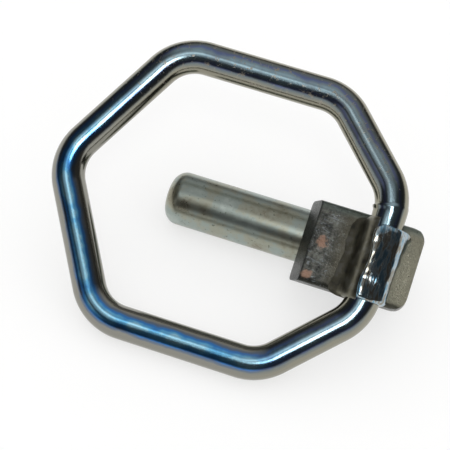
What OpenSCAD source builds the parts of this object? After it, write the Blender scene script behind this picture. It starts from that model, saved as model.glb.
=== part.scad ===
// Tine pin: a round pin with a flat bar welded across its head and a ring of
// bent round rod welded to the bar, lying as it comes to rest on a level floor.
// Millimetres. X runs from the pin's nose to its head, Z is up, and the origin
// is under the middle of the whole, on the floor.

/* [Pin] */
// Diameter of the pin
pin_d = 20; // [16:0.5:24]
// Length of the pin that stands free of the bar
pin_reach = 53; // [36:1:70]
// Length of the pin that lies along the back of the bar
pin_lap = 37; // [24:1:40]
// Radius of the flat left on the pin's nose
nose_flat_r = 3.5; // [2:0.25:6]
// Length of the rounding at the pin's nose
nose_round = 5.5; // [3:0.25:8]
// Width of the turned relief that ends the pin's working length at the bar
relief_w = 0.8; // [0.6:0.1:1.5]
// Depth of that relief
relief_depth = 0.4; // [0.2:0.1:0.8]

/* [Bar] */
// Width of the flat bar
bar_w = 30; // [28:0.5:40]
// Thickness of the flat bar
bar_t = 12; // [8:0.5:14]
// Length of the flat bar along its back face
bar_len = 42.5; // [40:0.5:60]
// How far the cropped end slopes back between the back face and the front face
crop_slope = 4; // [1:0.25:5]
// Radius of the two ground corners at the other end
corner_r = 5; // [2:0.5:8]
// Radius of the rolled edges along the bar
edge_r = 2; // [1:0.25:3]
// How far the bar's middle lies to one side of the pin's axis
bar_shift = 3; // [0:0.25:4]

/* [Ring] */
// Diameter of the ring's rod
rod_d = 12; // [9:0.5:13]
// Width of the ring between the middles of its two long sides
ring_w = 99; // [84:1:120]
// Length of each long side between its corners
side_len = 60.5; // [48:0.5:80]
// Length of the stretch that crosses the bar between its corners
cross_len = 44; // [42:0.5:52]
// Turn of the rod at each corner beside the bar, in degrees
heel_turn = 45; // [38:1:52]
// Turn of the rod at each far end of the long sides, in degrees
nose_turn = 60; // [54:1:64]
// Radius of every bend at the middle of the rod
bend_r = 17; // [13:0.5:19]
// Distance from the bar's cropped end to the middle of the rod
cross_at = 28; // [24:0.5:30]
// How far the ring's middle lies to one side of the pin's axis
ring_shift = 2; // [0:0.25:4]
// Gap between the two ends of the rod, which the welds bridge
end_gap = 2; // [1:0.25:3]
// Height of the mark that the bending former leaves at each end of a bend
die_mark = 0.05; // [0.03:0.01:0.15]
// Width of that mark along the rod
die_mark_w = 1.2; // [0.8:0.1:2]

/* [Welds] */
// How far the outer weld stands above the rod at its thick end
weld_crown = 1; // [0.4:0.1:1.6]
// How far the outer weld leans towards the bar's ground end at its thick end
weld_lean = 2.6; // [1.5:0.1:3.5]
// Distance from the bar's edge to the thick end of the outer weld
weld_start = 3.5; // [2:0.25:6]
// Width of the inner weld on the face of the bar
inner_leg = 5.5; // [5:0.25:7]
// How far round the rod the inner weld climbs, in degrees from the bar's side
inner_climb = 20; // [5:5:20]
// Radius of the inner weld's hollow face
inner_hollow_r = 24; // [22:1:40]
// How far the inner weld runs over the bar's lower edge
weld_spill = 1.8; // [0.5:0.1:2.4]
// Radius of the two weld runs between the pin and the bar
pin_weld_r = 3; // [2:0.25:3.5]

/* [Hidden] */
$fn = 64;
eps = 0.01;

pin_r = pin_d / 2;
rod_r = rod_d / 2;

// Heights above the pin's axis while the bar lies level
bar_z = pin_r;
face_z = bar_z + bar_t;
ring_z = face_z + rod_r;

// The ring as a path of straight legs and corners, walked round from the gap
heel_leg = (ring_w - cross_len) / 2 / cos(heel_turn);
nose_leg = ring_w / 2 / sin(nose_turn);
legs = [cross_len / 2, heel_leg, side_len, nose_leg,
    nose_leg, side_len, heel_leg, cross_len / 2];
turns = [heel_turn, 90 - heel_turn, nose_turn, 180 - 2 * nose_turn,
    nose_turn, 90 - heel_turn, heel_turn];
last = len(turns);

function along(heading) = [cos(heading), sin(heading)];
function heading(i) = i == 0 ? 90 : heading(i - 1) + turns[i - 1];
function leg_start(i) = i == 0 ? [cross_at, -ring_shift]
    : leg_start(i - 1) + legs[i - 1] * along(heading(i - 1));
function trim(i) = i < 0 || i >= last ? end_gap / 2 : bend_r * tan(turns[i] / 2);

// Resting place: the pin and one long side of the ring both touch the floor
low_side_y = -ring_shift - ring_w / 2;
high_side_y = -ring_shift + ring_w / 2;
side_reach = norm([low_side_y, ring_z]);
rest_roll = atan2(ring_z, -low_side_y) + asin((pin_r - rod_r) / side_reach);
nose_corner_x = leg_start(4)[0];
nose_tip_x = nose_corner_x + bend_r / cos(turns[3] / 2) - bend_r - rod_r;
mid_x = (nose_tip_x + bar_len) / 2;
mid_y = (low_side_y + high_side_y) / 2 * cos(rest_roll) - ring_z * sin(rest_roll);

module at_rest()
    translate([-mid_x, -mid_y, pin_r]) rotate([rest_roll, 0, 0]) children();

// Quarter of an ellipse from the nose's flat to the full radius
nose_steps = 12;
function nose_point(i) = let (a = 90 * i / nose_steps)
    [nose_flat_r + (pin_r - nose_flat_r) * sin(a), nose_round * (1 - cos(a))];

module pin_form()
    translate([-pin_reach, 0, 0]) rotate([0, 90, 0]) rotate_extrude()
        polygon(concat([[0, 0]], [for (i = [0 : nose_steps]) nose_point(i)],
            [[pin_r, pin_reach], [pin_r - relief_depth, pin_reach],
            [pin_r - relief_depth, pin_reach + relief_w], [pin_r, pin_reach + relief_w],
            [pin_r, pin_reach + pin_lap], [0, pin_reach + pin_lap]]));

// Outline with round corners, one radius at each end along X
module round_outline(x0, x1, y0, y1, r0, r1) {
    translate([x0 + r0, y0]) square([x1 - x0 - r0 - r1, y1 - y0]);
    translate([x0, y0 + r0]) square([r0 + eps, y1 - y0 - 2 * r0]);
    translate([x1 - r1 - eps, y0 + r1]) square([r1 + eps, y1 - y0 - 2 * r1]);
    for (y = [y0 + r0, y1 - r0]) translate([x0 + r0, y]) circle(r0);
    for (y = [y0 + r1, y1 - r1]) translate([x1 - r1, y]) circle(r1);
}

module bar_form() {
    y0 = -bar_shift - bar_w / 2;
    y1 = y0 + bar_w;
    difference() {
        intersection() {
            rotate([90, 0, 90]) linear_extrude(bar_len)
                round_outline(y0, y1, bar_z, face_z, edge_r, edge_r);
            translate([0, 0, bar_z]) linear_extrude(bar_t)
                round_outline(-corner_r, bar_len, y0, y1, edge_r, corner_r);
        }
        translate([0, y0 - 1, 0]) rotate([90, 0, 0]) mirror([0, 0, 1])
            linear_extrude(bar_w + 2)
                polygon([[-1, bar_z], [0, bar_z], [crop_slope, face_z],
                    [crop_slope, face_z + 1], [-1, face_z + 1]]);
    }
}

module ring_form()
    translate([0, 0, ring_z]) {
        for (i = [0 : last]) {
            start = leg_start(i) + trim(i - 1) * along(heading(i));
            translate([start[0], start[1], 0]) rotate([0, 90, heading(i)])
                cylinder(r = rod_r, h = legs[i] - trim(i - 1) - trim(i));
        }
        for (i = [0 : last - 1]) {
            centre = leg_start(i + 1) - trim(i) * along(heading(i))
                + bend_r * along(heading(i) + 90);
            translate([centre[0], centre[1], 0]) rotate([0, 0, heading(i) - 90])
                rotate_extrude(angle = turns[i]) translate([bend_r, 0]) circle(rod_r);
            for (side = [0, 1]) {
                mark = leg_start(i + 1) + (2 * side - 1) * trim(i) * along(heading(i + side));
                translate([mark[0], mark[1], 0]) rotate([0, 90, heading(i + side)])
                    cylinder(r = rod_r + die_mark, h = die_mark_w, center = true);
            }
        }
    }

// The rod's stretch across the bar, drawn through the gap between its ends
module cross_rod()
    translate([cross_at, -ring_shift - cross_len / 2, ring_z]) rotate([-90, 0, 0])
        cylinder(r = rod_r, h = cross_len);

// The rod's two ends on the bar, with the marks where their bends begin
module rod_ends()
    for (side = [-1, 1])
        translate([cross_at, -ring_shift, ring_z]) rotate([-90 * side, 0, 0]) {
            translate([0, 0, end_gap / 2]) cylinder(r = rod_r, h = cross_len / 2);
            translate([0, 0, legs[0] - trim(0) - die_mark_w / 2])
                cylinder(r = rod_r + die_mark, h = die_mark_w);
        }

// The tight space under the rod that no weld metal reaches, to each side and up
root_reach = rod_r / 2;
root_gap = rod_r - sqrt(pow(rod_r, 2) - pow(root_reach, 2)) + 0.1;

// Run of weld over the rod's joint: round at both ends, thick at the first
run_len = bar_w - weld_start + 0.5;
thick_r = rod_r + weld_crown - 0.1;
thin_r = rod_r;
thick_end = 4;
thin_end = 1;
ripple = 0.15;
run_steps = 14;
function run_r(t) = thick_r + (thin_r - thick_r) * t + ripple * sin(360 * 2.5 * t);
function thick_point(i) = let (a = 90 * i / 5)
    [run_r(0) * (0.45 + 0.55 * sin(a)), thick_end * (1 - cos(a))];
function run_point(i) = let (t = i / run_steps)
    [run_r(t), thick_end + t * (run_len - thick_end - thin_end)];

module run_form() {
    top_y = -bar_shift + bar_w / 2 - weld_start;
    slant = atan((weld_lean - 0.5) / run_len);
    translate([cross_at + weld_lean, top_y, ring_z + 0.2]) rotate([90, 0, 0])
        rotate([0, -slant, 0]) rotate_extrude()
            polygon(concat([[0, 0]], [for (i = [0 : 5]) thick_point(i)],
                [for (i = [1 : run_steps]) run_point(i)],
                [[thin_r - thin_end, run_len], [0, run_len]]));
}

// Hollow fillet of weld up the rod's inner side, run over the bar's lower edge
inner_toe = [-rod_r - inner_leg, 0];
inner_top = [-rod_r * cos(inner_climb), rod_r + rod_r * sin(inner_climb)];
inner_chord = inner_top - inner_toe;
inner_sag = sqrt(pow(inner_hollow_r, 2) - pow(norm(inner_chord) / 2, 2));
inner_centre = (inner_toe + inner_top) / 2
    + inner_sag * [-inner_chord[1], inner_chord[0]] / norm(inner_chord);

module inner_weld_form() {
    y0 = -bar_shift - bar_w / 2;
    y1 = y0 + bar_w;
    root_x = -root_reach;
    difference() {
        intersection() {
            translate([cross_at, y1, face_z]) rotate([90, 0, 0])
                linear_extrude(bar_w + weld_spill) difference() {
                    polygon([inner_toe, inner_top, [root_x, rod_r], [root_x, -edge_r],
                        [inner_toe[0], -edge_r]]);
                    translate(inner_centre) circle(inner_hollow_r);
                }
            translate([cross_at, 0, face_z - edge_r - 1]) linear_extrude(rod_d + edge_r + 1)
                polygon([[inner_toe[0] - 1, y0 + 0.5], [-rod_r + 1, y0 - weld_spill],
                    [0, y0 - weld_spill], [0, y1 - 1], [inner_toe[0] - 1, y1 - 1]]);
        }
        cross_rod();
        ring_form();
        bar_form();
    }
}

module pin_weld_form(side)
    translate([pin_weld_r + 1, side * 0.79 * pin_r, 0.84 * pin_r]) {
        run = pin_lap - 2 * pin_weld_r - 2;
        rotate([0, 90, 0]) cylinder(r = pin_weld_r, h = run);
        for (x = [0, run]) translate([x, 0, 0]) sphere(pin_weld_r);
    }

module pin() color("#969c90") at_rest() pin_form();

module head_bar() color("#5c5d58") at_rest() bar_form();

module ring() color("#8fa0ac") at_rest() ring_form();

module ring_weld_outer() color("#70787e") at_rest() difference() {
    run_form();
    rod_ends();
    bar_form();
    translate([cross_at - root_reach, -bar_shift - bar_w, face_z - 1])
        cube([2 * root_reach, 2 * bar_w, 1 + root_gap]);
}

module ring_weld_inner() color("#66645a") at_rest() inner_weld_form();

module pin_weld(side) color("#6e7270") at_rest() difference() {
    pin_weld_form(side);
    pin_form();
    bar_form();
}

module pin_weld_left() pin_weld(-1);

module pin_weld_right() pin_weld(1);

pin();
head_bar();
ring();
ring_weld_outer();
ring_weld_inner();
pin_weld_left();
pin_weld_right();
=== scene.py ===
# Tine pin: a turned pin, a flat head bar and a ring of bent rod, welded together and zinc plated.
# It lies on a pale floor, on the pin and on one long side of the ring.
import math

import bmesh
import bpy
from mathutils import Matrix, Vector


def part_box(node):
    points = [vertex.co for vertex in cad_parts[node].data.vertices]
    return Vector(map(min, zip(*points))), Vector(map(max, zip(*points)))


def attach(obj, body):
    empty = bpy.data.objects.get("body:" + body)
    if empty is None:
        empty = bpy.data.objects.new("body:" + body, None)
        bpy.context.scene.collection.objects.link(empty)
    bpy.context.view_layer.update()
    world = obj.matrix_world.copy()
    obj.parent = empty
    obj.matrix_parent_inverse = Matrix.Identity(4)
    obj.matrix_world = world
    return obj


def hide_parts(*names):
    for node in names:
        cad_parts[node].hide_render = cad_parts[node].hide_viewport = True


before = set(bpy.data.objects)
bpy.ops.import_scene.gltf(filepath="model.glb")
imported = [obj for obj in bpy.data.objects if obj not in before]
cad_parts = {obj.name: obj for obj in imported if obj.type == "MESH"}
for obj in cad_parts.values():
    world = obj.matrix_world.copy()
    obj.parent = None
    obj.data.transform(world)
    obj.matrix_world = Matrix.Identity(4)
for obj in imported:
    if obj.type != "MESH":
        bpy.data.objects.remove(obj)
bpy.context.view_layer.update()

# The pin
# A solid 20 mm round steel bar with a rounded nose, turned and zinc plated to a dull grey green.
# Its head end lies along the back of the flat bar. All pieces are modelled in millimetres on a
# level bench, with the pin's axis along X, and are then tipped over to where they rest.
MM = 0.001
pin_radius = 10.0
pin_reach = 53.0
pin_lap = 37.0
pin_sides = 96
nose_flat = 3.5
nose_round = 5.5
nose_steps = 14
relief_width = 0.8
relief_depth = 0.4
relief_wall = 0.1
head_bevel_long, head_bevel_deep = 0.8, 0.7
ring_height = 28.0
ring_low_side = 51.5
rod_radius = 6.0
lean = math.atan2(ring_height, ring_low_side) + math.asin(
    (pin_radius - rod_radius) / math.hypot(ring_height, ring_low_side))
pin_low, pin_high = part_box("pin")
bench_place = Vector((pin_high.x - pin_lap * MM, (pin_low.y + pin_high.y) / 2, pin_radius * MM))
tip_over = Matrix.Translation(bench_place) @ Matrix.Rotation(lean, 4, "X") @ Matrix.Scale(MM, 4)


def linear(code):
    """An sRGB hex colour as linear red, green, blue and alpha."""
    parts = [int(code[i:i + 2], 16) / 255 for i in (1, 3, 5)]
    return [p / 12.92 if p <= 0.04045 else ((p + 0.055) / 1.055) ** 2.4 for p in parts] + [1.0]


def add(tree, kind, settings=None, **inputs):
    """Adds a node with its settings. Each input is a value or a link from another node.

    An input goes by its label, or by its number where labels repeat, such as _6 and _7 for the
    two colours of a Mix node, whose mixed colour is output 2."""
    made = tree.nodes.new(kind)
    for key, value in (settings or {}).items():
        setattr(made, key, value)
    for key, value in inputs.items():
        socket = made.inputs[int(key[1:]) if key[1:].isdigit() else key.replace("_", " ")]
        if isinstance(value, bpy.types.NodeSocket):
            tree.links.new(value, socket)
        else:
            socket.default_value = value
    return made


def stops(ramp, places):
    """Sets a colour ramp's stops from pairs of place and hex colour."""
    band = ramp.color_ramp
    band.interpolation = "EASE"
    while len(band.elements) < len(places):
        band.elements.new(0.5)
    for element, (place, code) in zip(band.elements, places):
        element.position = place
        element.color = linear(code)


def metal(name):
    """A new plated-steel material with its shader and with the bench's millimetres to read."""
    made = bpy.data.materials.new(name)
    made.use_nodes = True
    tree = made.node_tree
    shader = tree.nodes["Principled BSDF"]
    shader.inputs["Metallic"].default_value = 1.0
    here = add(tree, "ShaderNodeTexCoord").outputs["Object"]
    bench = add(tree, "ShaderNodeMapping", {"vector_type": "TEXTURE"}, Vector=here,
                Location=bench_place, Rotation=(lean, 0, 0), Scale=(MM, MM, MM)).outputs[0]
    return made, tree, shader, bench


def coat(tree, shader, colour, rough, bump):
    """Joins a colour, a roughness and a bump to a material's shader."""
    tree.links.new(colour, shader.inputs["Base Color"])
    tree.links.new(rough.outputs["Result"], shader.inputs["Roughness"])
    tree.links.new(bump.outputs["Normal"], shader.inputs["Normal"])


def begin(name, sides, radius, place, turn):
    """Starts a piece from an open circle, in edit mode with all of it selected."""
    bpy.ops.object.select_all(action="DESELECT")
    bpy.ops.mesh.primitive_circle_add(vertices=sides, radius=radius, location=place, rotation=turn)
    piece = bpy.context.object
    piece.name = name
    bpy.ops.object.mode_set(mode="EDIT")
    bpy.ops.mesh.select_all(action="SELECT")
    return piece


def extend(run, grow, centre):
    """Extrudes the selected loop along X by a run and scales its new end about a centre."""
    bpy.ops.mesh.extrude_region_move(TRANSFORM_OT_translate={"value": (run, 0, 0)})
    bpy.ops.transform.resize(value=(1, grow, grow), center_override=centre)


def close_up():
    """Closes the open ends, turns the faces outwards and leaves edit mode."""
    bpy.ops.mesh.select_all(action="SELECT")
    bpy.ops.mesh.remove_doubles(threshold=0.001)
    bpy.ops.mesh.fill_holes(sides=0)
    bpy.ops.mesh.select_all(action="SELECT")
    bpy.ops.mesh.normals_make_consistent(inside=False)
    bpy.ops.object.mode_set(mode="OBJECT")


def lay_down(piece, angle, material, slot_name, *nodes):
    """Smooths a finished piece up to an angle, tips it to its resting place and hands it over."""
    bpy.ops.object.select_all(action="DESELECT")
    piece.select_set(True)
    bpy.context.view_layer.objects.active = piece
    bpy.ops.object.transform_apply(location=True, rotation=True, scale=True)
    bpy.ops.object.shade_smooth_by_angle(angle=math.radians(angle))
    piece.data.transform(tip_over)
    piece.data.materials.clear()
    piece.data.materials.append(material)
    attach(piece, "root")
    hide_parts(*nodes)


pin_line = []
for i in range(nose_steps + 1):
    a = math.pi / 2 * i / nose_steps
    pin_line.append((-pin_reach + nose_round * (1 - math.cos(a)),
                     nose_flat + (pin_radius - nose_flat) * math.sin(a)))
pin_line += [(0.0, pin_radius), (relief_wall, pin_radius - relief_depth),
             (relief_width - relief_wall, pin_radius - relief_depth), (relief_width, pin_radius),
             (pin_lap - head_bevel_long, pin_radius), (pin_lap, pin_radius - head_bevel_deep)]
pin = begin("pin_turned", pin_sides, nose_flat, (-pin_reach, 0, 0), (0, math.pi / 2, 0))
for (x_was, radius_was), (x, radius) in zip(pin_line, pin_line[1:]):
    extend(x - x_was, radius / radius_was, (x, 0, 0))
close_up()

# Dull zinc plate on a turned bar: soft, even reflections. Its tone drifts in clouds about 11 mm
# across.
pin_plate, tree, shader, bench = metal("dull_zinc_on_turned_steel")
cloud = add(tree, "ShaderNodeTexNoise", Vector=bench, Scale=0.09, Detail=5.0, Roughness=0.6)
tone = add(tree, "ShaderNodeValToRGB", Fac=cloud.outputs["Fac"])
stops(tone, [(0.34, "#8b8878"), (0.46, "#9ea092"), (0.55, "#9aa49e"), (0.68, "#aab3ad")])
# Small dark pits, 0.5 to 1 mm across, are scattered over the plate
pit = add(tree, "ShaderNodeTexNoise", Vector=bench, Scale=0.8, Detail=3.0, Roughness=0.6)
pitted = add(tree, "ShaderNodeMapRange", Value=pit.outputs["Fac"], From_Min=0.62, From_Max=0.7,
             To_Max=0.7)
speckled = add(tree, "ShaderNodeMix", {"data_type": "RGBA"}, Factor=pitted.outputs[0],
               _6=tone.outputs["Color"], _7=linear("#55564e"))
# Uneven turning marks about 0.35 mm apart run round the pin, with a grain of about that size
along = add(tree, "ShaderNodeMapping", Vector=bench, Scale=(2.9, 0.12, 0.12)).outputs[0]
turned = add(tree, "ShaderNodeTexNoise", Vector=along, Scale=1.0, Detail=3.0)
grain = add(tree, "ShaderNodeTexNoise", Vector=bench, Scale=3.0, Detail=3.0)
marks = add(tree, "ShaderNodeMath", {"operation": "ADD"}, _0=turned.outputs["Fac"],
            _1=grain.outputs["Fac"])
rough = add(tree, "ShaderNodeMapRange", Value=cloud.outputs["Fac"], From_Min=0.3, From_Max=0.7,
            To_Min=0.26, To_Max=0.34)
bump = add(tree, "ShaderNodeBump", Height=marks.outputs[0], Strength=0.25, Distance=0.00004)
coat(tree, shader, speckled.outputs[2], rough, bump)
lay_down(pin, 35, pin_plate, "pin_zinc", "pin")

# The head bar
# A short piece of 30 by 12 mm hot rolled flat bar with rolled edges. One end was cropped by a
# shear and slopes back, and the other has two ground corners. Dull and scratched plate.
bar_width, bar_thick, bar_length = 30.0, 12.0, 42.5
bar_shift = 3.0
crop_slope = 4.0
corner_radius = 5.0
edge_radius = 2.0
ground_bevel = 0.5
ground_angle = 50
bar_face = pin_radius + bar_thick
bar_upper = -bar_shift + bar_width / 2
bar_mid = Vector((bar_length / 2, -bar_shift, pin_radius + bar_thick / 2))


def pick_edges(test):
    """Selects only those edges of the mesh in edit mode that pass a test."""
    mesh = bmesh.from_edit_mesh(bpy.context.object.data)
    bpy.ops.mesh.select_all(action="DESELECT")
    for edge in mesh.edges:
        edge.select_set(test(edge))
    bmesh.update_edit_mesh(bpy.context.object.data)


def edge_runs(edge, axis):
    """Whether an edge lies along an axis, 0 for X, 1 for Y and 2 for Z."""
    run = (edge.verts[1].co - edge.verts[0].co).normalized()
    return abs(run[axis]) > 0.9


bpy.ops.object.select_all(action="DESELECT")
bpy.ops.mesh.primitive_cube_add(size=1, location=bar_mid, scale=(bar_length, bar_width, bar_thick))
bar = bpy.context.object
bar.name = "bar_cropped"
bpy.ops.object.transform_apply(location=True, rotation=True, scale=True)
bpy.ops.object.mode_set(mode="EDIT")
bpy.ops.mesh.select_mode(type="EDGE")
pick_edges(lambda e: edge_runs(e, 2) and e.verts[0].co.x > bar_length - 1)
bpy.ops.mesh.bevel(offset=corner_radius, segments=8, affect="EDGES")
pick_edges(lambda e: edge_runs(e, 0))
bpy.ops.mesh.bevel(offset=edge_radius, segments=5, affect="EDGES")
for vert in bmesh.from_edit_mesh(bar.data).verts:
    if vert.co.x < 0.01:
        vert.co.x = crop_slope * (vert.co.z - pin_radius) / bar_thick
bpy.ops.mesh.select_mode(type="VERT")
close_up()
bar_bevel = bar.modifiers.new("ground_edges", "BEVEL")
bar_bevel.width = ground_bevel
bar_bevel.segments = 3
bar_bevel.angle_limit = math.radians(ground_angle)
bpy.context.view_layer.objects.active = bar
bpy.ops.object.modifier_apply(modifier="ground_edges")


def zone(tree, colour, source, start, end, code, amount):
    """Tints a colour by an amount where a measure, most often in mm, goes from start to end."""
    part = add(tree, "ShaderNodeMapRange", {"interpolation_type": "SMOOTHSTEP"}, Value=source,
               From_Min=start, From_Max=end, To_Min=0.0, To_Max=amount)
    return add(tree, "ShaderNodeMix", {"data_type": "RGBA"}, Factor=part.outputs[0],
               _6=colour, _7=linear(code)).outputs[2]


# Hot rolled and sheared steel under dull plate: dark, and mottled in patches of about 3 mm. The
# sheared end and the lower edge are darkest, a pale grey green painted reflection lies along the
# upper edge, and the face is olive near the weld.
bar_plate, tree, shader, bench = metal("dull_zinc_on_rolled_steel")
split = add(tree, "ShaderNodeSeparateXYZ", Vector=bench)
mottle = add(tree, "ShaderNodeTexNoise", Vector=bench, Scale=0.34, Detail=8.0, Roughness=0.72)
tone = add(tree, "ShaderNodeValToRGB", Fac=mottle.outputs["Fac"])
stops(tone, [(0.36, "#3c3d3c"), (0.47, "#5a5b57"), (0.56, "#73746d"), (0.66, "#8d8f8a")])
colour = tone.outputs["Color"]
colour = zone(tree, colour, split.outputs["X"], 10.0, 16.5, "#615e52", 0.85)
colour = zone(tree, colour, split.outputs["X"], 33.0, 37.0, "#918f7e", 0.75)
# A pale grey green painted reflection along the upper rounded edge
colour = zone(tree, colour, split.outputs["Y"], 8.0, 11.2, "#6f7b75", 0.7)
colour = zone(tree, colour, split.outputs["Y"], -15.0, -17.4, "#33342f", 0.85)
# Pale scratches about 4 mm long and 1.5 mm apart, swirled by the distortion, lie on the half near
# the sheared end. The turn comes after the scale, so it only picks another part of the noise.
drawn = add(tree, "ShaderNodeMapping", Vector=bench, Rotation=(0, 0, 0.9),
            Scale=(0.5, 1.5, 1.0)).outputs[0]
streak = add(tree, "ShaderNodeTexNoise", Vector=drawn, Scale=0.45, Detail=6.0, Roughness=0.65,
             Distortion=2.2)
fading = add(tree, "ShaderNodeMapRange", Value=split.outputs["X"], From_Min=10.0, From_Max=18.0,
             To_Min=0.0, To_Max=0.12)
scratch = add(tree, "ShaderNodeMath", {"operation": "SUBTRACT"}, _0=streak.outputs["Fac"],
              _1=fading.outputs[0])
colour = zone(tree, colour, scratch.outputs[0], 0.54, 0.62, "#9aa2a6", 0.6)
# Two copper-coloured rust spots of 3 to 4 mm show by the sheared end. The mottle makes their
# edges ragged, and half of rag, at its middle value of 0.5, comes off every distance.
rag = 9.0
rust_spots = (((8.0, -2.5, bar_face), 1.7), ((5.9, -15.2, bar_face), 1.3))
for spot, size in rust_spots:
    far = add(tree, "ShaderNodeVectorMath", {"operation": "DISTANCE"}, _0=bench, _1=spot)
    ragged = add(tree, "ShaderNodeMath", {"operation": "MULTIPLY_ADD"}, _0=mottle.outputs["Fac"],
                 _1=-rag, _2=far.outputs["Value"])
    colour = zone(tree, colour, ragged.outputs[0], size - 3.6, size - 5.2, "#b9927c", 0.75)
# The sheared end itself, which slopes back with the bar's thickness
slope = crop_slope / bar_thick
raked = add(tree, "ShaderNodeMath", {"operation": "MULTIPLY_ADD"}, _0=split.outputs["Z"],
            _1=-slope, _2=split.outputs["X"])
colour = zone(tree, colour, raked.outputs[0], 0.9 - slope * pin_radius, 0.2 - slope * pin_radius,
              "#2e2f2e", 0.75)
# The grit of the rolled surface is about 0.8 mm across
grit = add(tree, "ShaderNodeTexNoise", Vector=bench, Scale=1.3, Detail=6.0, Roughness=0.7)
rough = add(tree, "ShaderNodeMapRange", Value=grit.outputs["Fac"], From_Min=0.3, From_Max=0.7,
            To_Min=0.22, To_Max=0.46)
bump = add(tree, "ShaderNodeBump", Height=grit.outputs["Fac"], Strength=0.6, Distance=0.0003)
coat(tree, shader, colour, rough, bump)
lay_down(bar, 40, bar_plate, "bar_zinc", "head_bar")

# The ring
# One length of 12 mm round rod, bent cold at seven corners, so that it comes to a point over the
# pin's nose. Its two ends meet on the front face of the bar. Bright zinc plate, with a blue
# reflection painted along the top of the rod.
ring_width, side_length, cross_length = 99.0, 60.5, 44.0
heel_turn, nose_turn = 45.0, 60.0
bend_radius = 17.0
cross_at = 28.0
ring_shift = 2.0
end_gap = 2.0
rod_sides = 48
leg_step = 3.0
heel_leg = (ring_width - cross_length) / 2 / math.cos(math.radians(heel_turn))
nose_leg = ring_width / 2 / math.sin(math.radians(nose_turn))
legs = [cross_length / 2, heel_leg, side_length, nose_leg,
        nose_leg, side_length, heel_leg, cross_length / 2]
turns = [heel_turn, 90 - heel_turn, nose_turn, 180 - 2 * nose_turn,
         nose_turn, 90 - heel_turn, heel_turn]

heading = 90.0
here = Vector((cross_at, -ring_shift + end_gap / 2, ring_height))
ring = begin("ring_rod", rod_sides, rod_radius, here, (math.pi / 2, 0, 0))
for i, leg in enumerate(legs):
    before = bend_radius * math.tan(math.radians(turns[i - 1] / 2)) if i else end_gap / 2
    after = bend_radius * math.tan(math.radians(turns[i] / 2)) if i < len(turns) else end_gap / 2
    run = Vector((math.cos(math.radians(heading)), math.sin(math.radians(heading)), 0))
    length = leg - before - after
    count = max(2, round(length / leg_step))
    for step in range(count):
        bpy.ops.mesh.extrude_region_move(
            TRANSFORM_OT_translate={"value": run * (length / count)})
    here += run * length
    if i < len(turns):
        middle = here + bend_radius * Vector((-run.y, run.x, 0))
        bpy.ops.mesh.spin(steps=round(turns[i] / 2), angle=-math.radians(turns[i]),
                          center=middle, axis=(0, 0, 1))
        heading += turns[i]
        here = middle + Matrix.Rotation(math.radians(turns[i]), 3, "Z") @ (here - middle)
close_up()
bpy.ops.object.transform_apply(location=True, rotation=True, scale=True)

# The first bend above the bar was nipped by the bending former: a low collar with a sharp upper
# edge goes round the rod 4 mm above the bar, highest on the inner side. Its place is in degrees
# round the bend, and its height is a share of the rod's radius.
nip_start, nip_peak, nip_edge = -14, 9, 10
nip_spread = 7
nip_height = 0.1
nip_middle = Vector((cross_at - bend_radius, -ring_shift + cross_length / 2
                     - bend_radius * math.tan(math.radians(heel_turn / 2)), ring_height))
for vert in ring.data.vertices:
    out = vert.co - nip_middle
    turn = math.degrees(math.atan2(out.y, out.x))
    if out.x > 0 and nip_start < turn < nip_edge:
        spoke = Vector((out.x, out.y, 0)).normalized()
        core = nip_middle + spoke * bend_radius
        offset = vert.co - core
        side = 0.6 - 0.4 * offset.normalized().dot(spoke)
        rise = math.exp(-((turn - nip_peak) / nip_spread) ** 2)
        vert.co = core + offset * (1 + nip_height * side * rise)

# Bright zinc, grey at the rod's sides. A painted reflection runs along the top of the rod: a dark
# band, then blue, then a pale painted highlight at the crest. It is bluest low on the ring and
# towards the nose; higher up it is teal, with a purple fringe by the highlight. Its edge wavers
# every 8 mm or so.
ring_plate, tree, shader, bench = metal("bright_zinc_with_painted_blue_reflection")
split = add(tree, "ShaderNodeSeparateXYZ", Vector=bench)
waver = add(tree, "ShaderNodeTexNoise", Vector=bench, Scale=0.12, Detail=4.0)
lift = add(tree, "ShaderNodeMapRange", Value=split.outputs["Z"],
           From_Min=ring_height - rod_radius, From_Max=ring_height + rod_radius)
nudge = add(tree, "ShaderNodeMapRange", Value=waver.outputs["Fac"], From_Min=0.3, From_Max=0.7,
            To_Min=-0.025, To_Max=0.025)
height = add(tree, "ShaderNodeMath", {"operation": "ADD"}, _0=lift.outputs["Result"],
             _1=nudge.outputs["Result"])
# Painted reflection across the top of the rod, low on the ring: a darker band, blue, then a pale
# painted highlight
blue_reflection_ramp = add(tree, "ShaderNodeValToRGB", Fac=height.outputs[0])
stops(blue_reflection_ramp, [(0.0, "#8c8a7e"), (0.88, "#8d8c84"), (0.93, "#667487"), (0.965, "#3f82c6"),
             (0.99, "#68add6"), (1.0, "#94c4da")])
# The same painted reflection higher on the ring: teal, with a purple fringe and a pale painted
# highlight
teal_reflection_ramp = add(tree, "ShaderNodeValToRGB", Fac=height.outputs[0])
stops(teal_reflection_ramp, [(0.0, "#8c8a7e"), (0.8, "#93907f"), (0.91, "#6c7678"), (0.95, "#6e7390"),
             (0.98, "#8f9691"), (1.0, "#93a3a8")])
# The painted blue reflection is strongest low on the ring and towards the nose; the low mask also
# spreads the scuffs
low = add(tree, "ShaderNodeMapRange", {"interpolation_type": "SMOOTHSTEP"},
          Value=split.outputs["Y"], From_Min=42.0, From_Max=-6.0, To_Min=0.22)
nose_side = add(tree, "ShaderNodeMapRange", {"interpolation_type": "SMOOTHSTEP"},
                Value=split.outputs["X"], From_Min=18.0, From_Max=-15.0, To_Min=0.3)
painted_reflection_share = add(tree, "ShaderNodeMath", {"operation": "MULTIPLY"}, _0=low.outputs["Result"],
            _1=nose_side.outputs["Result"])
tone = add(tree, "ShaderNodeMix", {"data_type": "RGBA"}, Factor=painted_reflection_share.outputs[0],
           _6=teal_reflection_ramp.outputs["Color"], _7=blue_reflection_ramp.outputs["Color"])
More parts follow.
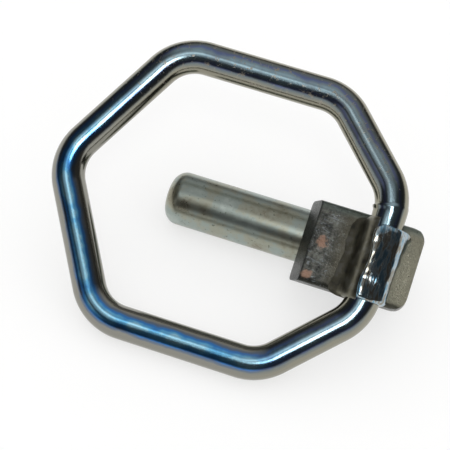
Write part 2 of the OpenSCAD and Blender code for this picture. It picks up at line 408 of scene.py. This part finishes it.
# Scuffs about 2 mm across, thick on the top stretch and rare elsewhere
patch = add(tree, "ShaderNodeTexNoise", Vector=bench, Scale=0.55, Detail=7.0, Roughness=0.7)
bare = add(tree, "ShaderNodeMapRange", Value=low.outputs["Result"], To_Min=0.52, To_Max=0.68)
over = add(tree, "ShaderNodeMath", {"operation": "SUBTRACT"}, _0=patch.outputs["Fac"],
           _1=bare.outputs["Result"])
scuff = add(tree, "ShaderNodeMapRange", Value=over.outputs[0], From_Min=0.0, From_Max=0.08)
worn = add(tree, "ShaderNodeMix", {"data_type": "RGBA"}, Factor=scuff.outputs["Result"],
           _6=tone.outputs[2], _7=linear("#999489"))
rough = add(tree, "ShaderNodeMapRange", Value=scuff.outputs["Result"], To_Min=0.14, To_Max=0.32)
bump = add(tree, "ShaderNodeBump", Height=patch.outputs["Fac"], Strength=0.2, Distance=0.00012)
coat(tree, shader, worn.outputs[2], rough, bump)
lay_down(ring, 60, ring_plate, "ring_zinc", "ring")

# The outer ring weld
# A heavy run of weld over the joint between the rod's ends, thick where it began near the bar's
# upper edge and thinner towards the lower one. Plated with the rest, so it shines.
outer_top = bar_upper - 3.5
outer_length = bar_width - 2.6
outer_thick = 2.0
toe_reach, toe_drawn_in = 9.1, 3.3
# Three places round the rod, in degrees from its right side
shoulder_at, crest_at, face_at = 119, 70, 73


def smooth_step(t):
    """Goes smoothly from 0 to 1 as t does, and stays at 0 or 1 beyond."""
    t = min(max(t, 0.0), 1.0)
    return t * t * (3 - 2 * t)


def round_end(share):
    """How full a run is at a share, from 0 to 1, of the way in from its rounded end."""
    return math.sqrt(1 - (1 - min(max(share, 0.0), 1.0)) ** 2)


def open_out(share):
    """How wide a run is at a share of the stretch in which it opens out to its full width."""
    return 0.4 + 0.6 * math.sqrt(min(share, 1.0))


def lay_weld(name, rows, steps, top, length, profile, swell, fade):
    """Lays a run of weld down the rod and closes it inside the rod.

    The profile gives the surface round the rod's axis, for places across and along the run from
    0 to 1. The run rises out of the rod over the share swell and sinks into it over fade."""
    bpy.ops.object.select_all(action="DESELECT")
    bpy.ops.mesh.primitive_grid_add(x_subdivisions=rows, y_subdivisions=steps, size=1)
    run = bpy.context.object
    run.name = name
    for vert in run.data.vertices:
        across, t = vert.co.x + 0.5, 0.5 - vert.co.y
        full = profile(across, t)
        sunk = full.normalized() * (rod_radius - 0.1)
        at = sunk.lerp(full, round_end(t / swell) * round_end((1 - t) / fade))
        vert.co = (cross_at + at.x, top - length * t, ring_height + at.y)
    bpy.ops.object.mode_set(mode="EDIT")
    bpy.ops.mesh.select_all(action="SELECT")
    # The back of the run is the same sheet, drawn in about a line 1 mm behind the rod's axis
    bpy.ops.mesh.extrude_region_move(TRANSFORM_OT_translate={"value": (0, 0, 0)})
    bpy.ops.transform.resize(value=(0.55, 0.96, 0.6),
                             center_override=(cross_at, top - length / 2, ring_height - 1.0))
    close_up()
    return run


def right_toe(t):
    """How far right of the rod's axis the outer weld's toe lies, from top to bottom."""
    lobe = 0.5 * math.sin(math.pi * 5.2 * t + 0.4) + 0.25 * math.sin(math.pi * 11 * t)
    return toe_reach - toe_drawn_in * smooth_step((t - 0.2) / 0.5) + lobe * smooth_step(t / 0.1)


def outer_profile(across, t):
    """Steep at the left shoulder, then a face that slopes down to the right, then the toe."""
    # The angle round the rod. The sines are the waver of a run laid by hand.
    toe = right_toe(t)
    first = shoulder_at + 4 * math.sin(math.pi * 3.2 * t)
    last = math.degrees(math.atan2(-rod_radius, toe))
    degrees = first + (last - first) * across
    angle = math.radians(crest_at + (degrees - crest_at) * open_out(t / 0.1))
    # The bulk follows the rod and spreads out into the toe
    foot = max(0.0, (across - 0.5) / 0.5)
    spread = math.hypot(rod_radius, toe) - rod_radius - outer_thick
    bulk = (rod_radius + outer_thick * smooth_step(across / 0.07) + spread * foot ** 2.2
            - 0.5 * math.sin(math.pi * foot) * foot)
    # The face is a plane that cuts across the bulk, 1 mm over the rod at the top and lower below
    crown = 1.0 - 0.45 * t + 0.12 * math.sin(math.pi * 7 * t) + 0.04 * math.sin(41 * t)
    lay = math.radians(face_at + 5 * math.sin(math.pi * 3 * t + 1)
                       + 2.5 * math.sin(math.pi * 9 * t))
    face = (rod_radius + 0.35 + 0.6 * crown) / max(0.3, math.cos(angle - lay))
    # The nearer of the two, with the corner between them rounded off
    out = (bulk ** -16 + face ** -16) ** (-1 / 16)
    return Vector((math.cos(angle), math.sin(angle))) * out


outer = lay_weld("weld_outer_bead", 44, 110, outer_top, outer_length, outer_profile, 0.13, 0.06)
# A cooled bead is nearly smooth, with stripes of colour about 2 mm wide and 7 mm long, and low
# swells a little larger than those
weld_plate, tree, shader, bench = metal("zinc_on_weld_bead")
drawn = add(tree, "ShaderNodeMapping", Vector=bench, Scale=(1.0, 0.28, 1.0)).outputs[0]
mottle = add(tree, "ShaderNodeTexNoise", Vector=drawn, Scale=0.5, Detail=5.0, Roughness=0.55)
tone = add(tree, "ShaderNodeValToRGB", Fac=mottle.outputs["Fac"])
stops(tone, [(0.3, "#6a6d6c"), (0.41, "#6d93a8"), (0.5, "#a6b4bb"), (0.57, "#8a867a"),
             (0.7, "#9aa6ab")])
rough = add(tree, "ShaderNodeMapRange", Value=mottle.outputs["Fac"], From_Min=0.3, From_Max=0.7,
            To_Min=0.1, To_Max=0.2)
soft = add(tree, "ShaderNodeTexNoise", Vector=drawn, Scale=0.42, Detail=2.0)
bump = add(tree, "ShaderNodeBump", Height=soft.outputs["Fac"], Strength=0.45, Distance=0.0005)
coat(tree, shader, tone.outputs["Color"], rough, bump)
lay_down(outer, 60, weld_plate, "weld_zinc", "ring_weld_outer")

# The inner ring weld
# A smooth, hollow fillet laid up the rod's other side to the outer weld, and run over the bar's
# lower edge. It was laid hot and slow, so it has few ripples, and its plate is olive brown.
inner_top = bar_upper - 1.5
inner_length = bar_width + 0.2


def curve_at(points, s):
    """A point on the smooth curve that a row of control points pulls towards them."""
    while len(points) > 1:
        points = [a.lerp(b, s) for a, b in zip(points, points[1:])]
    return points[0]


def inner_profile(across, t):
    """A hollow curve from a toe on the bar's face up to the rod, on a leg of uneven length."""
    leg = 4.6 + 1.3 * t + 0.4 * math.sin(9 * t) + 0.2 * math.sin(23 * t)
    leg *= open_out(t / 0.16)
    points = [(-rod_radius - leg - 0.8, -6.02), (-rod_radius - leg * 0.75, -5.9),
              (-rod_radius - leg * 0.35, -5.0), (-7.4, -1.8), (-6.9, 1.6), (-5.6, 4.2),
              (-4.2, 5.2), (-2.6, 5.75)]
    return curve_at([Vector(point) for point in points], across)


inner = lay_weld("weld_inner_fillet", 26, 80, inner_top, inner_length, inner_profile, 0.05, 0.07)
# Brown and grey drift over it in patches of about 4 mm
fillet_plate, tree, shader, bench = metal("olive_zinc_on_smooth_weld")
mottle = add(tree, "ShaderNodeTexNoise", Vector=bench, Scale=0.25, Detail=6.0, Roughness=0.6)
tone = add(tree, "ShaderNodeValToRGB", Fac=mottle.outputs["Fac"])
stops(tone, [(0.34, "#63615a"), (0.5, "#7b7869"), (0.66, "#8e8d83")])
rough = add(tree, "ShaderNodeMapRange", Value=mottle.outputs["Fac"], From_Min=0.3, From_Max=0.7,
            To_Min=0.3, To_Max=0.45)
bump = add(tree, "ShaderNodeBump", Height=mottle.outputs["Fac"], Strength=0.3, Distance=0.0003)
coat(tree, shader, tone.outputs["Color"], rough, bump)
lay_down(inner, 60, fillet_plate, "weld_zinc", "ring_weld_inner")

# The pin welds
# Two runs of weld in the long grooves between the pin and the back of the bar, with the even
# scallops of a run laid by hand. The photograph hides them, so they are kept plain.
bead_radius = 3.0
bead_start = 1.0
bead_length = pin_lap - 2.0
bead_sides = 28
bead_steps = 90
scallops = 11
blunt_end = math.sqrt(0.05)
# The middle of a bead lies in its groove, at these shares of the pin's radius out and up
groove_out, groove_up = 0.79, 0.84
for side, node in ((-1, "pin_weld_left"), (1, "pin_weld_right")):
    place = Vector((bead_start, side * groove_out * pin_radius, groove_up * pin_radius))
    bead = begin("weld_" + ("left" if side < 0 else "right") + "_of_pin", bead_sides, 1.0, place,
                 (0, math.pi / 2, 0))
    size_was = 1.0
    for step in range(1, bead_steps + 1):
        t = step / bead_steps
        full = max(blunt_end, round_end(min(t, 1 - t) * bead_length / bead_radius))
        scallop = 0.93 + 0.07 * abs(math.sin(math.pi * scallops * t + side))
        size = bead_radius * full * scallop
        place.x += bead_length / bead_steps
        extend(bead_length / bead_steps, size / size_was, place)
        size_was = size
    close_up()
    lay_down(bead, 60, weld_plate, "weld_zinc", node)

# The floor and the light
# A plain pale floor in a studio with a pale wall all round, a dark ceiling and soft round light
# panels in it. The camera and the metal see the same studio, and dull surfaces get even light.
floor_size = 6.0
floor_glow = 0.6
bpy.ops.object.select_all(action="DESELECT")
bpy.ops.mesh.primitive_plane_add(size=floor_size, location=(0, 0, 0))
floor = bpy.context.object
floor.name = "floor"
floor_paint = bpy.data.materials.new("pale_floor_paint")
floor_paint.use_nodes = True
tree = floor_paint.node_tree
shader = tree.nodes["Principled BSDF"]
shader.inputs["Base Color"].default_value = linear("#fbfbfa")
shader.inputs["Roughness"].default_value = 1.0
shader.inputs["Specular IOR Level"].default_value = 0.0
path = add(tree, "ShaderNodeLightPath")
looked_at = add(tree, "ShaderNodeMath", {"operation": "MAXIMUM"},
                _0=path.outputs["Is Camera Ray"], _1=path.outputs["Is Glossy Ray"])
share = add(tree, "ShaderNodeMath", {"operation": "MULTIPLY"}, _0=looked_at.outputs[0],
            _1=floor_glow)
glow = add(tree, "ShaderNodeEmission", Color=(1, 1, 1, 1), Strength=1.0)
pale = add(tree, "ShaderNodeMixShader", Fac=share.outputs[0], _1=shader.outputs[0],
           _2=glow.outputs[0])
tree.links.new(pale.outputs[0], tree.nodes["Material Output"].inputs["Surface"])
floor.data.materials.append(floor_paint)

# Each panel's azimuth and elevation, the angles from its middle up to which it is full and by
# which it has faded out, all in degrees, and its strength. The first is the key light, which
# draws the white lines on the ring, and the others give the metal softer bands.
panels = ((14, 55, 5, 11, 7.0), (0, 76, 3, 28, 0.3), (180, 60, 10, 50, 0.5),
          (-30, 60, 3, 22, 0.35), (-38, 22, 3, 18, 0.3), (-26, 66, 2, 8, 0.8))
# The wall fades into the ceiling up to this height on a sphere of radius 1
wall_top = 0.24
wall_strength, ceiling_strength = 1.0, 0.06
world = bpy.data.worlds.new("studio")
bpy.context.scene.world = world
world.use_nodes = True
tree = world.node_tree
tree.nodes.clear()
gaze = add(tree, "ShaderNodeTexCoord").outputs["Generated"]


def towards(azimuth, elevation):
    """The direction at an azimuth from the front, positive to the right, and an elevation."""
    a, e = math.radians(azimuth), math.radians(elevation)
    return (math.sin(a) * math.cos(e), -math.cos(a) * math.cos(e), math.sin(e))


def panel(azimuth, elevation, core, rim, strength):
    """A round soft panel of light in the world, full inside core degrees and gone at rim."""
    facing = add(tree, "ShaderNodeVectorMath", {"operation": "DOT_PRODUCT"}, _0=gaze,
                 _1=towards(azimuth, elevation))
    return add(tree, "ShaderNodeMapRange", {"interpolation_type": "SMOOTHERSTEP"},
               Value=facing.outputs["Value"], From_Min=math.cos(math.radians(rim)),
               From_Max=math.cos(math.radians(core)), To_Min=0.0, To_Max=strength).outputs[0]


upward = add(tree, "ShaderNodeSeparateXYZ", Vector=gaze).outputs["Z"]
wall = add(tree, "ShaderNodeMapRange", {"interpolation_type": "SMOOTHSTEP"}, Value=upward,
           From_Min=0.0, From_Max=wall_top, To_Min=wall_strength, To_Max=ceiling_strength)
lights = [panel(*values) for values in panels] + [wall.outputs[0]]
total = lights[0]
for light in lights[1:]:
    total = add(tree, "ShaderNodeMath", {"operation": "ADD"}, _0=total, _1=light).outputs[0]
studio = add(tree, "ShaderNodeBackground", Color=(1, 1, 1, 1), Strength=total)
even = add(tree, "ShaderNodeBackground", Color=(1, 1, 1, 1), Strength=1.0)
path = add(tree, "ShaderNodeLightPath")
shown = add(tree, "ShaderNodeMixShader", Fac=path.outputs["Is Diffuse Ray"],
            _1=studio.outputs[0], _2=even.outputs[0])
add(tree, "ShaderNodeOutputWorld", Surface=shown.outputs[0])

# The camera
# It looks down at the front of the ring, as the photograph does, with a long lens. Its place and
# turn were fitted to the edges of the ring and the pin in the photograph.
camera_place = Vector((59.89, -309.26, 412.31)) * MM
camera_turn = (38.730, -5.321, 17.938)
camera_data = bpy.data.cameras.new("camera")
camera_data.lens = 112.0
camera = bpy.data.objects.new("camera", camera_data)
bpy.context.collection.objects.link(camera)
camera.location = camera_place
camera.rotation_euler = [math.radians(a) for a in camera_turn]
bpy.context.scene.camera = camera
bpy.context.scene.view_settings.view_transform = "Standard"
